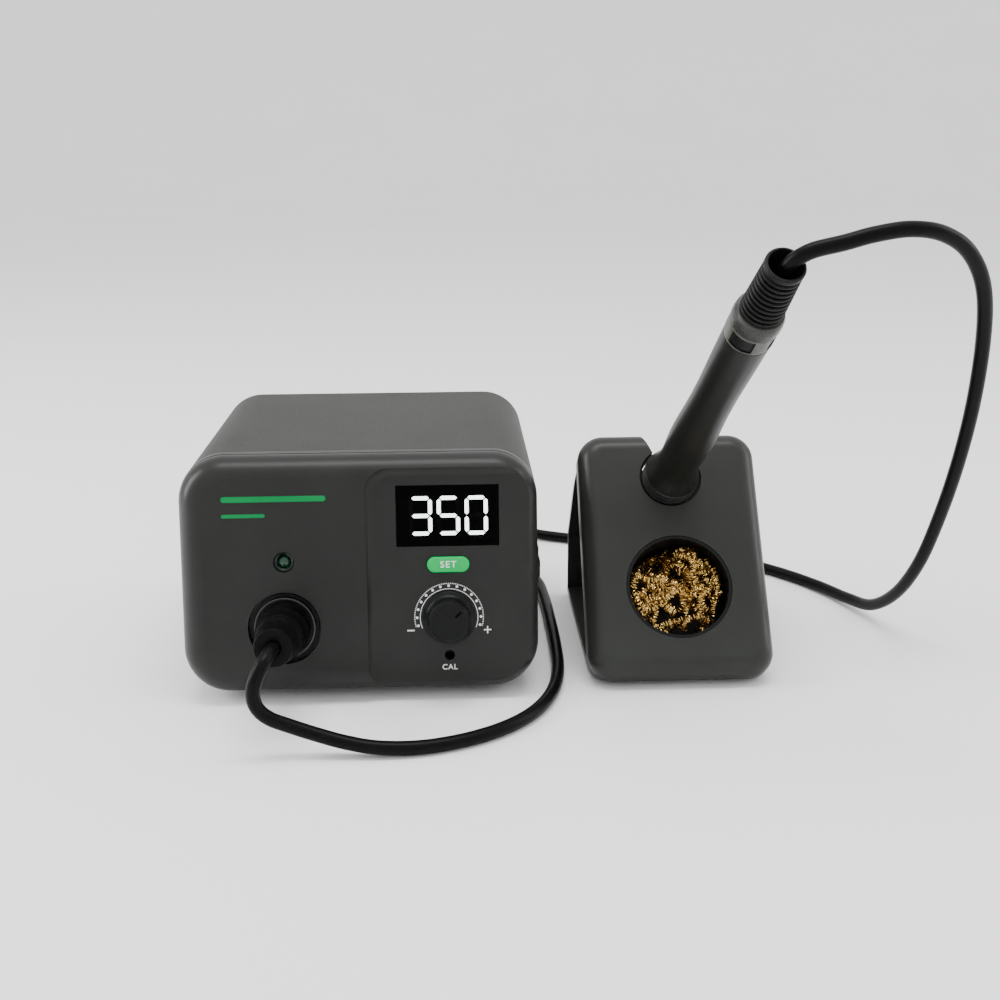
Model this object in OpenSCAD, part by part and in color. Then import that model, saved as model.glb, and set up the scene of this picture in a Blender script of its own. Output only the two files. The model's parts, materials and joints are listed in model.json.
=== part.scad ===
// Soldering iron station: a control unit, an iron on its cord, and the iron's stand.
// Millimetres, +Z up. The control unit's front looks along -Y. The origin is on the surface the
// object stands on, under the middle of everything but the cord and its plug.

/* [Control unit] */
// Width of the control unit
body_w = 140; // [135:1:150]
// Depth of the control unit, front bottom edge to rear edge
body_d = 138; // [132:1:150]
// Height of the housing, without its feet
body_h = 92.5; // [90:0.5:100]
// Height of the rubber feet
foot_h = 3; // [2:0.5:5]
// Corner radius of the housing's outline
corner_r = 18; // [16:1:20]
// Radius that rounds the front bezel's edge
edge_r = 10; // [8:1:11]
// Wall thickness of the mouldings
wall = 2.5; // [2:0.5:3]
// How far the front leans back from upright
face_lean = 10; // [5:1:15]
// Depth of the front bezel, square to its face
bezel_d = 14; // [14:1:18]

/* [Controls] */
// How far the control zone is sunk below the rest of the face
zone_drop = 2.5; // [2:0.5:3]
// Left edge of the control zone, from the middle
zone_x = 3; // [1:0.5:5]
// Display window width
window_w = 40; // [36:1:42]
// Display window height
window_h = 24; // [20:1:25]
// Middle of the display, button, knob and trimmer column
column_x = 34.6; // [33:0.1:36]
// Knob skirt diameter
knob_d = 21; // [18:0.2:22]
// How far the knob stands off the panel
knob_h = 11.5; // [10:0.5:13]
// Travel of the set button
button_travel = 0.8; // [0.5:0.1:1]

/* [Iron stand] */
// Distance from the control unit's middle to the stand's middle
stand_x = 128.2; // [126:0.2:140]
// Width of the stand's front shell
stand_w = 75.5; // [72:0.5:80]
// How far the stand's front plate leans back from upright
plate_lean = 37; // [35:1:40]
// Depth of the stand's base, to its rear wall
stand_d = 115.5; // [112:0.5:120]
// Height of the stand's upright rear wall
rear_wall_h = 32; // [28:1:36]
// Opening for the tip-cleaning wool
wool_d = 43.5; // [40:0.5:45]
// Hole that holds the iron's collar
iron_hole_d = 26; // [25:0.5:28]

/* [Iron] */
// Angle of the resting iron above the horizontal
iron_rise = 42.3; // [41:0.1:44]
// Turn of the resting iron away from straight forward
iron_turn = 7.4; // [6:0.1:9]
// Length from the collar to the end of the strain relief
handle_l = 149; // [140:1:155]
// Collar diameter
collar_d = 23.2; // [22:0.1:23.6]

/* [Cord] */
// Diameter of the iron's cord
cord_d = 5.3; // [4.5:0.1:6]
// Diameter across the middle of the coiled turns
coil_d = 60; // [54:2:64]
// Turns in the coil
coil_turns = 2.5; // [1.5:1:3.5]

/* [Hidden] */
$fn = 72;
eps = 0.1;

// Where the origin falls, measured from the middle of the control unit's front bottom edge
origin_x = 47.975;
origin_y = 40.902;

// Front face, in its own plane: x to the right, y up the slope, z out of the face
floor_z = -zone_drop;
inner_z = floor_z - wall;
face_l = (body_h - edge_r * (1 + sin(face_lean)) - edge_r * (1 - sin(face_lean))) / cos(face_lean)
  + 2 * edge_r;
face_y0 = (edge_r + edge_r * sin(face_lean)) / cos(face_lean) - edge_r;
parting = 0.15;
window_y = 71.2;
button_y = 52;
dial_y = 31.1;
trimmer_y = 15.9;
lamp = [-28.8, 54.4];
socket = [-29.2, 28.5];
recess_r = 14.2;
shell_r = 12;
board_z = -17;

// Rocker switch on the right side
rocker_pos = [body_w / 2, 32.5, 47];
rocker_rest = -10;

// Rear panel
panel_y = body_d - 4;
inlet = [-32, 38];
inlet_screw_x = 20;
earth = [14, 28];

// Stand plate, in its own plane: x to the right, y up the slope, z out of the plate
plate_l = 106;
plate_y0 = 7;
plate_edge_r = 8;
plate_corner_r = 11;
shell_depth = 14;
wool_y = 44;
wool_x = 0.4;
cup_depth = 23;
hole_x = 0.3;
hole_y = 91.7;
stand_foot_h = 2;

// Placing
module site() { translate([-origin_x, -origin_y, 0]) children(); }
module on_face(p = [0, 0]) {
  site() translate([0, 0, foot_h]) rotate([90 - face_lean, 0, 0]) translate([p[0], p[1], 0])
    children();
}
module on_plate(p = [0, 0]) {
  site() translate([stand_x, 0, stand_foot_h]) rotate([90 - plate_lean, 0, 0])
    translate([p[0], p[1], 0]) children();
}
module on_iron() {
  site() translate([stand_x + hole_x, hole_y * sin(plate_lean),
                    stand_foot_h + hole_y * cos(plate_lean)])
    rotate([90 - iron_rise, 0, iron_turn]) children();
}
module at_rocker() { site() translate(rocker_pos) children(); }

// Shapes that repeat
module tube(r, bore, z0, z1) {
  translate([0, 0, z0]) difference() {
    cylinder(r = r, h = z1 - z0);
    translate([0, 0, -eps]) cylinder(r = bore, h = z1 - z0 + 2 * eps);
  }
}
module rod(r, z0, z1) { translate([0, 0, z0]) cylinder(r = r, h = z1 - z0); }
module box(size, z0, z1) {
  translate([-size[0] / 2, -size[1] / 2, z0]) cube([size[0], size[1], z1 - z0]);
}
module stadium(w, h, z0, z1) {
  for (side = [-1, 1]) translate([side * (w - h) / 2, 0, 0]) rod(h / 2, z0, z1);
  box([w - h, h], z0, z1);
}
module rounded_slab(w, l, r, z0, z1) {
  for (x = [-1, 1], y = [-1, 1]) translate([x * (w / 2 - r), y * (l / 2 - r), 0]) rod(r, z0, z1);
  box([w - 2 * r, l], z0, z1);
  box([w, l - 2 * r], z0, z1);
}
// Quarter of a rounded edge, in x and y
module edge_profile(r) {
  intersection() {
    circle(r);
    square(r);
  }
}
// Slab with an outline radius and a rounded upper edge, from z = -r to z = 0
module pillow(w, l, outline_r, r) {
  in_r = outline_r - r;
  for (x = [0, 1], y = [0, 1]) {
    mirror([x, 0, 0]) mirror([0, y, 0]) {
      translate([w / 2 - outline_r, l / 2 - outline_r, -r]) rotate_extrude(angle = 90) {
        square([in_r, r]);
        translate([in_r, 0]) edge_profile(r);
      }
    }
  }
  for (x = [0, 1]) mirror([x, 0, 0]) translate([w / 2 - r, l / 2 - outline_r, -r])
    rotate([90, 0, 0]) linear_extrude(l - 2 * outline_r) edge_profile(r);
  for (y = [0, 1]) mirror([0, y, 0]) translate([outline_r - w / 2, l / 2 - r, -r])
    rotate([90, 0, 90]) linear_extrude(w - 2 * outline_r) edge_profile(r);
  box([w - 2 * r, l - 2 * outline_r], -r, 0);
  box([w - 2 * outline_r, l - 2 * r], -r, 0);
}
// Housing section, run along y from y0 to y1, shrunk by inset
module housing_run(inset, y0, y1) {
  translate([0, y1, foot_h + body_h / 2]) rotate([90, 0, 0])
    rounded_slab(body_w - 2 * inset, body_h - 2 * inset, corner_r - inset, 0, y1 - y0);
}
// Everything in front of (or behind) a plane square to the face's normal
module ahead_of(z) { translate([-200, -100, z]) cube([400, 400, 100]); }
module behind(z) { translate([-200, -100, z - 300]) cube([400, 400, 300]); }
// Pan-head screw with a cross slot, head on z = 0 and shank down to -length
module screw(head_r, shank_r, length) {
  difference() {
    rod(head_r, 0, head_r * 0.55);
    box([head_r * 1.1, head_r * 0.3], head_r * 0.25, head_r);
    box([head_r * 0.3, head_r * 1.1], head_r * 0.25, head_r);
  }
  rod(shank_r, -length, 0);
}

// Front bezel
module control_zone_cut() {
  slope_w = 4.5;
  slope_r = (slope_w * slope_w + zone_drop * zone_drop) / (2 * zone_drop);
  turn_r = 10;
  top_y = 91;
  x1 = zone_x + slope_w;
  bend = [zone_x + turn_r, top_y - turn_r];
  far = 90;
  translate([bend[0], -20, floor_z]) cube([far, bend[1] + 20, 10]);
  translate([x1, -20, floor_z]) cube([turn_r, bend[1] + 20, 10]);
  translate([bend[0], bend[1], floor_z]) cube([far, top_y - slope_w - bend[1], 10]);
  translate([x1, -20, floor_z + slope_r]) rotate([-90, 0, 0]) cylinder(r = slope_r, h = bend[1] + 20);
  translate([bend[0], top_y - slope_w, floor_z + slope_r]) rotate([0, 90, 0])
    cylinder(r = slope_r, h = far);
  translate([bend[0], bend[1], floor_z]) rotate([0, 0, 90]) rotate_extrude(angle = 90) {
    square([turn_r - slope_w, 10]);
    intersection() {
      translate([turn_r - slope_w, slope_r]) circle(slope_r);
      square([30, 30]);
    }
  }
}
module bezel_outer() {
  difference() {
    union() {
      translate([0, face_y0 + face_l / 2, 0])
        pillow(body_w - 2 * parting, face_l, corner_r, edge_r);
      intersection() {
        bezel_run();
        ahead_of(-bezel_d);
        behind(-edge_r);
      }
    }
    control_zone_cut();
  }
}
// The housing section, seen from the face's own plane
module bezel_run() {
  rotate([face_lean - 90, 0, 0]) translate([0, 0, -foot_h]) housing_run(0, -30, 80);
}
module front_bezel() {
  color("#3c3e3b") on_face() difference() {
    union() {
      difference() {
        bezel_outer();
        translate([0, face_y0 + face_l / 2, 0])
          rounded_slab(body_w - 4 * wall, face_l - 4 * wall, corner_r - 2 * wall, -30, inner_z);
      }
      translate([socket[0], socket[1], 0]) rod(recess_r + wall, -8, inner_z);
      translate([lamp[0], lamp[1], 0]) rod(6, -8, inner_z);
    }
    translate([column_x, window_y, 0]) box([window_w, window_h], -20, 5);
    translate([column_x, button_y, 0]) stadium(17.2, 6.8, -20, 5);
    translate([column_x, dial_y, 0]) rod(3.6, -20, 5);
    translate([column_x, trimmer_y, 0]) rod(2, -20, 5);
    translate([lamp[0], lamp[1], 0]) rod(4, -20, 5);
    translate([socket[0], socket[1], 0]) rod(recess_r, -4, 5);
    translate([socket[0], socket[1], 0]) rod(shell_r, -20, 5);
  }
}

// Housing
module cover_boss(x, y) {
  translate([x, y, foot_h + wall]) difference() {
    union() {
      cylinder(r = 4, h = 12);
      translate([x > 0 ? 0 : -body_w / 2 + abs(x) + 1, -1, 0])
        cube([body_w / 2 - abs(x) - 1, 2, 12]);
    }
    translate([0, 0, -eps]) cylinder(r = 1.45, h = 10);
  }
}
screw_spots = [[-47, 40], [47, 40], [-47, 112], [47, 112]];
foot_spots = [[-40, 27], [40, 27], [-40, 124], [40, 124]];
module housing_cover() {
  color("#50524e") difference() {
    union() {
      site() difference() {
        housing_run(0, 10, body_d);
        housing_run(wall, 0, body_d + 1);
        translate([-52.2, 0, 0]) cube([104.4, body_d + 1, foot_h + wall + 0.1]);
      }
      site() intersection() {
        housing_run(wall / 2, 20, body_d - 10);
        for (p = screw_spots) cover_boss(p[0], p[1]);
      }
    }
    on_face() ahead_of(-bezel_d - parting);
    at_rocker() translate([-8, -4.4, -6.7]) cube([12, 8.8, 13.4]);
  }
}
module base_plate() {
  slots = 7;
  color("#2b2c2b") difference() {
    site() translate([-52, 12, foot_h]) cube([104, body_d - 14, wall]);
    on_face() ahead_of(-bezel_d - parting);
    site() for (p = screw_spots) translate([p[0], p[1], 0]) cylinder(r = 1.7, h = 10);
    site() for (side = [-1, 1], i = [0 : slots - 1])
      translate([side * 20, 62 + i * 7, 0]) stadium(26, 3, 0, 10);
  }
}
module rear_panel() {
  slots = 6;
  color("#2b2c2b") site() difference() {
    intersection() {
      housing_run(wall + 0.15, panel_y, panel_y + wall);
      translate([-body_w, panel_y, foot_h + wall + 0.1]) cube([2 * body_w, wall, body_h]);
    }
    translate([inlet[0] - 13.6, panel_y - 1, inlet[1] - 13.6]) cube([27.2, 5, 27.2]);
    translate([earth[0], panel_y - 1, earth[1]]) rotate([-90, 0, 0]) cylinder(r = 4, h = 5);
    for (side = [-1, 1]) translate([inlet[0] + side * inlet_screw_x, panel_y - 1, inlet[1]])
      rotate([-90, 0, 0]) cylinder(r = 1.7, h = 5);
    for (i = [0 : slots - 1]) translate([28, panel_y - 1, 44 + i * 6]) rotate([-90, 0, 0])
      stadium(40, 3, 0, 5);
  }
}
module rubber_feet() {
  color("#1d1d1d") site() for (p = foot_spots) translate([p[0], p[1], 0]) difference() {
    cylinder(r = 6.5, h = foot_h);
    translate([0, 0, -eps]) cylinder(r = 2, h = 1.6);
  }
}
module case_screws() {
  color("silver") site() {
    for (p = screw_spots) translate([p[0], p[1], foot_h]) mirror([0, 0, 1]) screw(2.9, 1.4, 9);
    for (side = [-1, 1])
      translate([inlet[0] + side * inlet_screw_x, panel_y + 2 * wall, inlet[1]])
        rotate([-90, 0, 0]) screw(2.9, 1.4, 9);
  }
}

// Display
module display_window() {
  color("#0a0a0b") on_face([column_x, window_y]) {
    box([window_w - 0.2, window_h - 0.2], inner_z, floor_z - 0.2);
    box([window_w + 6, window_h + 4], inner_z - 1, inner_z);
  }
}
// One bar of a digit, with pointed ends
module bar(l) {
  t = 1.8;
  polygon([[-l / 2, 0], [-l / 2 + t / 2, t / 2], [l / 2 - t / 2, t / 2], [l / 2, 0],
           [l / 2 - t / 2, -t / 2], [-l / 2 + t / 2, -t / 2]]);
}
// Lit bars of a digit: top, two right, bottom, two left, middle
module digit(lit) {
  w = 7.4;
  h = 6.9;
  places = [[0, h, 0], [w / 2, h / 2, 90], [w / 2, -h / 2, 90], [0, -h, 0],
            [-w / 2, -h / 2, 90], [-w / 2, h / 2, 90], [0, 0, 0]];
  for (i = [0 : 6]) if (lit[i] == 1)
    translate([places[i][0], places[i][1]]) rotate(places[i][2]) bar(i % 3 == 0 ? w - 0.7 : h - 0.7);
}
module display_segments() {
  digits = [[1, 1, 1, 1, 0, 0, 1], [1, 0, 1, 1, 0, 1, 1], [1, 1, 1, 1, 1, 1, 0]];
  color("white") on_face([column_x, window_y])
    translate([0.4, 0, floor_z - 0.2]) for (i = [0 : 2])
      translate([(i - 1) * 10.8, 0, 0]) linear_extrude(0.12) digit(digits[i]);
}
module display_module() {
  color("#e8e8e4") on_face([column_x, window_y]) box([37.6, 19], board_z + 1.6, inner_z - 1);
}
module front_pcb() {
  color("#1f5a38") on_face() difference() {
    translate([column_x - 1, 46, 0]) box([52, 72], board_z, board_z + 1.6);
    translate([column_x, dial_y, 0]) rod(3.2, board_z - 1, board_z + 3);
  }
}

// Set button
module set_button() {
  color("#45c57a") on_face([column_x, button_y]) {
    stadium(16.6, 6.2, inner_z - 0.2, floor_z + 0.8);
    stadium(19.4, 9, inner_z - 1.2, inner_z - 0.2);
    rod(1.6, -8.4, inner_z - 1.2);
  }
}
module tact_switch() {
  color("#202020") on_face([column_x, button_y]) {
    box([6.2, 6.2], board_z + 1.6, -10.6);
    rod(1.7, -10.6, -9.4);
  }
}

// Temperature knob and its potentiometer
module dial_scale() {
  dots = 15;
  sweep = 210;
  step = sweep / (dots - 1);
  ring_r = 11.3;
  color("#e9ebe9") on_face([column_x, dial_y]) translate([0, 0, floor_z]) {
    rotate([0, 0, 90 - sweep / 2]) rotate_extrude(angle = sweep)
      translate([ring_r - 0.12, 0]) square([0.24, 0.1]);
    for (i = [0 : dots - 1]) rotate([0, 0, i * step - sweep / 2])
      translate([0, ring_r + 0.9, 0]) cylinder(r = 0.5, h = 0.1);
    rotate([0, 0, 90 - sweep / 2]) rotate_extrude(angle = sweep)
      translate([ring_r + 1.8, 0]) square([0.24, 0.1]);
    for (side = [-1, 1]) translate([side * 15, -5.2, 0]) box([2.6, 0.5], 0, 0.1);
    translate([15, -5.2, 0]) box([0.5, 2.6], 0, 0.1);
  }
}
module knob() {
  top = floor_z + knob_h;
  skirt_r = knob_d / 2;
  cap_r = knob_d / 2 - 2.7;
  round_r = 0.9;
  color("#272929") on_face([column_x, dial_y]) difference() {
    rotate_extrude() {
      polygon([[0, floor_z + 0.5], [skirt_r, floor_z + 0.5], [skirt_r, floor_z + 1.4],
               [skirt_r - 1.1, floor_z + 2.4], [cap_r, top - round_r], [cap_r - round_r, top],
               [0, top]]);
      intersection() {
        translate([cap_r - round_r, top - round_r]) circle(round_r);
        square([100, 100]);
      }
    }
    rod(7, -20, floor_z + 3.4);
    rod(3, -20, floor_z + 9);
    rotate([0, 0, -48]) translate([-0.35, 3.4, top - 0.5]) cube([0.7, 3.2, 1]);
  }
}
module pot_shaft() {
  color("silver") on_face([column_x, dial_y]) rod(3, -13.4, floor_z + 9);
}
module pot_body() {
  color("#8b8b88") on_face([column_x, dial_y]) difference() {
    union() {
      rod(8.4, -13.6, inner_z);
      rod(3.55, inner_z, floor_z + 2.8);
      box([12, 9], board_z + 1.6, -13.6);
    }
    rod(3.06, -13.5, 10);
  }
}
module pot_nut() {
  color("silver") on_face([column_x, dial_y]) difference() {
    translate([0, 0, floor_z]) cylinder(r = 5.7, h = 1.9, $fn = 6);
    rod(3.55, floor_z - 1, floor_z + 3);
  }
}
module cal_trimmer() {
  color("#2f55a4") on_face([column_x, trimmer_y]) difference() {
    box([6.6, 6.6], board_z + 1.6, -10);
    rod(2.05, -12.2, -9);
  }
}
module cal_rotor() {
  color("#e6e2d4") on_face([column_x, trimmer_y]) difference() {
    rod(2, -12.1, -9.7);
    box([0.6, 2.6], -10.6, -9);
    box([2.6, 0.6], -10.6, -9);
  }
}

// Indicator lamp and the plain printed marks beside it
module indicator_lens() {
  color("#1e3526") on_face(lamp) {
    rotate_extrude() difference() {
      union() {
        translate([0, -8]) square([3.95, 6.6]);
        intersection() {
          translate([0, -6.2]) circle(6.2);
          translate([0, -1.5]) square([3.95, 3]);
        }
      }
      translate([0, -9]) square([2.6, 5.6]);
    }
  }
}
module indicator_led() {
  color("#2fae62") on_face(lamp) {
    rod(2.9, -9, -8);
    rod(2.45, -8, -6.1);
    translate([0, 0, -6.1]) sphere(2.45);
  }
}
module front_mark() {
  color("#45c57a") on_face() {
    translate([-32, 79, 0]) stadium(40, 2.2, 0, 0.1);
    translate([-43.7, 72.6, 0]) stadium(16.6, 1.4, 0, 0.1);
  }
}

// Rocker switch
module switch_frame() {
  color("#141414") at_rocker() difference() {
    union() {
      translate([0, -5.3, -7.6]) cube([1, 10.6, 15.2]);
      translate([-16, -4.3, -6.6]) cube([16, 8.6, 13.2]);
    }
    translate([-8, -3.6, -6.3]) cube([12, 7.2, 12.6]);
    rotate([90, 0, 0]) translate([0, 0, -4.2]) cylinder(r = 1.05, h = 8.4);
  }
}
module switch_rocker() {
  color("#101010") at_rocker() rotate([0, rocker_rest, 0]) {
    rotate([90, 0, 0]) linear_extrude(7, center = true)
      polygon([[-3, -4.6], [-0.6, -5.8], [0.8, -5.8], [2, 0.6], [1, 5.7], [-0.6, 5.8], [-3, 4.6]]);
    rotate([90, 0, 0]) cylinder(r = 1, h = 8.2, center = true);
  }
}

// Iron socket and plug
contact_ring = 4;
contacts = 5;
module socket_housing() {
  color("#2a2b2b") on_face(socket) difference() {
    union() {
      rod(shell_r - 0.05, -20, -1.2);
      tube(shell_r - 0.05, shell_r - 0.8, -1.2, -0.6);
      tube(shell_r + 1.2, shell_r - 0.1, -4, -2.8);
    }
    rod(9.7, -10, 5);
    for (i = [0 : contacts - 1]) rotate([0, 0, i * 72]) translate([0, contact_ring, 0])
      rod(0.8, -25, 0);
  }
}
module socket_nut() {
  color("silver") on_face(socket) difference() {
    translate([0, 0, -10.5]) cylinder(r = 16, h = 2.5, $fn = 6);
    rod(shell_r, -20, 0);
  }
}
module socket_contacts() {
  color("#c9a24a") on_face(socket) for (i = [0 : contacts - 1])
    rotate([0, 0, i * 72]) translate([0, contact_ring, 0]) tube(0.78, 0.5, -23, -10.2);
}
plug_l = 33;
module plug_body() {
  color("#2c2d2d") on_face(socket) difference() {
    rotate_extrude() polygon([
      [0, -9.4], [9.4, -9.4], [9.4, -0.4], [10.2, 0.4], [10.2, 9], [9.6, 10.5], [8.7, 17],
      [8.3, 17], [8.3, 17.8], [8.6, 17.8], [8.5, 19], [8.1, 19], [8.1, 19.8], [8.4, 19.8],
      [8.2, 21], [7.8, 21], [7.8, 21.8], [8, 21.8], [7.2, plug_l], [0, plug_l]]);
    rod(cord_r + 0.3, plug_l - 6, plug_l + 1);
    translate([-3.6, 9.7, 2]) cube([7.2, 2, 5]);
    for (i = [0 : contacts - 1]) rotate([0, 0, i * 72]) translate([0, contact_ring, 0])
      rod(0.5, -12, -1);
  }
}
module plug_contacts() {
  color("#d8d8d4") on_face(socket) for (i = [0 : contacts - 1])
    rotate([0, 0, i * 72]) translate([0, contact_ring, 0]) rod(0.45, -16, -1.2);
}

// Rear sockets
pin_spots = [[-7, -1.5], [0, 2.5], [7, -1.5]];
module mains_inlet() {
  color("#161616") site() translate([inlet[0], panel_y + wall, inlet[1]]) difference() {
    union() {
      translate([-24, 0, -15]) cube([48, 2.5, 30]);
      translate([-13.5, -20, -13.5]) cube([27, 20, 27]);
    }
    translate([-12, -13, -4.5]) cube([24, 20, 16.5]);
    translate([-11.5, -17, -12.5]) cube([23, 24, 6.2]);
    for (p = pin_spots) translate([p[0] - 1, -24, p[1] + 1.7]) cube([2, 22, 4]);
    for (side = [-1, 1]) translate([side * inlet_screw_x, -1, 0]) rotate([-90, 0, 0])
      cylinder(r = 1.7, h = 5);
  }
}
module inlet_pins() {
  color("#c9b37a") site() translate([inlet[0], panel_y + wall, inlet[1] + 3.7])
    for (p = pin_spots) translate([p[0] - 1, -24, p[1] - 2]) cube([2, 22, 4]);
}
module fuse_drawer() {
  color("#1c1c1c") site() translate([inlet[0], panel_y + wall, inlet[1] - 9.4]) difference() {
    union() {
      translate([-11.3, -16, -2.9]) cube([22.6, 18.5, 5.8]);
      translate([-11.3, 2.5, -2.9]) cube([22.6, 1, 5.8]);
    }
    translate([-10.4, -14.5, -2]) cube([20.8, 13, 6]);
    translate([-4, 2.2, 1.6]) cube([8, 2, 2]);
  }
}
module fuse() {
  color("#dfe6e8") site() translate([inlet[0] - 10, panel_y + wall - 9, inlet[1] - 8.85])
    rotate([0, 90, 0]) cylinder(r = 2.5, h = 20);
}
module earth_socket() {
  color("#1f8a3f") site() translate([earth[0], panel_y + wall, earth[1]]) rotate([-90, 0, 0])
    difference() {
      union() {
        rod(6, 0, 2.4);
        rod(3.95, -12, 0);
      }
      rod(2.05, -10, 5);
    }
}

// Power supply
core_at = [-22, 84];
core_w = 56;
core_d = 22;
core_h = 48;
limb = 18.5;
core_window = 9.5;
strap_t = 1.5;
module transformer_core() {
  color("#5a5c60") site() translate([core_at[0], core_at[1], foot_h + wall + strap_t])
    difference() {
      translate([-core_w / 2, -core_d / 2, 0]) cube([core_w, core_d, core_h]);
      for (x = [-limb / 2 - core_window, limb / 2]) translate([x, -core_d, core_window])
        cube([core_window, 2 * core_d, core_h - 2 * core_window]);
    }
}
module transformer_winding() {
  across = limb + 2 * core_window - 0.2;
  high = core_h - 2 * core_window - 0.4;
  color("#b0642c") site() translate([core_at[0], core_at[1], foot_h + wall + strap_t])
    difference() {
      translate([-across / 2, -19, core_window + 0.2]) cube([across, 38, high]);
      translate([-limb / 2 - 0.1, -core_d / 2 - 0.1, core_window])
        cube([limb + 0.2, core_d + 0.2, high + 1]);
    }
}
module transformer_strap() {
  color("silver") site() translate([core_at[0], core_at[1], foot_h + wall]) {
    for (z = [0, core_h + strap_t]) translate([-core_w / 2 - 2, -8, z])
      cube([core_w + 4, 16, strap_t]);
    for (x = [-core_w / 2 - 2, core_w / 2]) translate([x, -8, strap_t]) cube([2, 16, core_h]);
  }
}
board = [31, 76];
board_w = 42;
board_l = 60;
board_base = foot_h + wall + 8;
module main_pcb() {
  color("#1f5a38") site() translate([board[0] - board_w / 2, board[1] - board_l / 2, board_base])
    cube([board_w, board_l, 1.6]);
}
module pcb_standoffs() {
  color("#d9d3c2") site() for (x = [-17, 17], y = [-26, 26])
    translate([board[0] + x, board[1] + y, foot_h + wall]) cylinder(r = 3, h = 8);
}
module heatsink() {
  fins = 6;
  color("#a9adb0") site() translate([board[0] + 8, board[1] - 20, board_base + 1.6]) {
    cube([3, 34, 32]);
    for (i = [0 : fins - 1]) translate([3, i * 6.4, 0]) cube([8, 2, 32]);
  }
}
module capacitor() {
  color("#28406e") site() translate([board[0] - 10, board[1] + 12, board_base + 1.6])
    cylinder(r = 8, h = 26);
}

// Iron stand
module shell_solid(inset) {
  translate([0, plate_y0 + plate_l / 2, -inset])
    pillow(stand_w - 2 * inset, plate_l - 2 * inset, plate_corner_r - inset,
           plate_edge_r - inset);
  translate([0, plate_y0 + plate_l / 2, 0])
    rounded_slab(stand_w - 2 * inset, plate_l - 2 * inset, plate_corner_r - inset,
                 -shell_depth - inset, -plate_edge_r);
}
module slot_cut(z0, z1) {
  slot_low = 5.8;
  slot_top = 11.6;
  slot_end = plate_y0 + plate_l - hole_y + 1;
  translate([0, 0, z0]) linear_extrude(z1 - z0)
    polygon([[-slot_low, 0], [slot_low, 0], [slot_low, 9], [slot_top, slot_end],
             [-slot_top, slot_end], [-slot_low, 9]]);
}
module stand_front_shell() {
  color("#454845") difference() {
    on_plate() difference() {
      union() {
        difference() {
          shell_solid(0);
          shell_solid(wall);
        }
        for (side = [-1, 1]) translate([side * 26, 100, 0]) rod(3.6, -shell_depth, -wall);
      }
      translate([wool_x, wool_y, 0]) rod(wool_d / 2, -30, 5);
      translate([hole_x, hole_y, 0]) rod(iron_hole_d / 2, -30, 5);
      translate([hole_x, hole_y, 0]) slot_cut(-30, 5);
      for (side = [-1, 1]) translate([side * 26, 100, 0]) rod(1.3, -shell_depth - 1, -4);
    }
    site() translate([0, -50, stand_foot_h - 50]) cube([300, 200, 50]);
  }
}
// Side outline of the stand's bent rear frame, in y and z
slant_foot = [stand_d, rear_wall_h];
slant_top = [67.3, 94.5];
slant_len = norm(slant_top - slant_foot);
slant_in = wall * [slant_foot[1] - slant_top[1], slant_top[0] - slant_foot[0]] / slant_len;
module frame_outline() {
  polygon([[10, stand_foot_h], [stand_d, stand_foot_h], slant_foot, slant_top, [40, slant_top[1]]]);
}
module frame_inside() {
  low = stand_foot_h + wall;
  polygon([[0, low], [stand_d - wall, low], [stand_d - wall, rear_wall_h - 1.2],
           slant_foot + slant_in, slant_top + slant_in, slant_top + slant_in - [40, 0]]);
}
module stand_frame() {
  half = stand_w / 2 - 1;
  color("#3f423f") difference() {
    union() {
      difference() {
        intersection() {
          site() translate([stand_x - half, 0, 0]) rotate([90, 0, 90]) linear_extrude(2 * half)
            difference() {
              frame_outline();
              frame_inside();
            }
          on_plate([0, plate_y0 + plate_l / 2])
            rounded_slab(2 * half, plate_l, plate_corner_r, -150, -5);
        }
        on_plate() ahead_of(-shell_depth - parting);
        on_plate([hole_x, hole_y]) slot_cut(-32, 5);
      }
      intersection() {
        on_plate([0, plate_y0 + plate_l / 2])
          rounded_slab(2 * half, plate_l - 1, plate_corner_r, -150, -5);
        for (side = [-1, 1]) on_plate([side * 26, 99])
          box([14, 18], -shell_depth - wall, -shell_depth - parting);
      }
    }
    for (side = [-1, 1]) on_plate([side * 26, 100]) rod(1.6, -40, 0);
  }
}
module wool_cup() {
  color("#161616") on_plate([wool_x, wool_y]) difference() {
    union() {
      rod(wool_d / 2 - 0.15, -cup_depth, -0.3);
      rod(wool_d / 2 + 2.5, -wall - 1.3, -wall - 0.05);
    }
    rod(wool_d / 2 - 1.35, 1.2 - cup_depth, 5);
  }
}
module brass_wool() {
  r = wool_d / 2 - 1.8;
  color("#c99a3c") on_plate([wool_x, wool_y]) rotate_extrude() {
    translate([0, 1.2 - cup_depth]) square([r, cup_depth - 6.2]);
    intersection() {
      translate([0, -56]) circle(55);
      translate([0, -9]) square([r, 12]);
    }
  }
}
module holder_bush() {
  color("#121212") difference() {
    union() {
      on_plate([hole_x, hole_y]) rod(iron_hole_d / 2 - 0.05, -4.6, -1.6);
      on_plate() intersection() {
        translate([hole_x, hole_y, 0]) rod(iron_hole_d / 2 + 1.6, -4.6, -wall - 0.05);
        shell_solid(wall + 0.05);
      }
    }
    on_iron() rod(collar_d / 2 + 0.35, -40, 40);
    on_plate([hole_x, hole_y]) slot_cut(-60, 5);
  }
}
module stand_feet() {
  color("#1d1d1d") site() for (x = [-27, 27], y = [32, 104])
    translate([stand_x + x, y, 0]) cylinder(r = 5, h = stand_foot_h);
}
module stand_screws() {
  color("silver") for (side = [-1, 1]) on_plate([side * 26, 100])
    translate([0, 0, -shell_depth - wall]) mirror([0, 0, 1]) screw(2.7, 1.25, 9);
}

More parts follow.
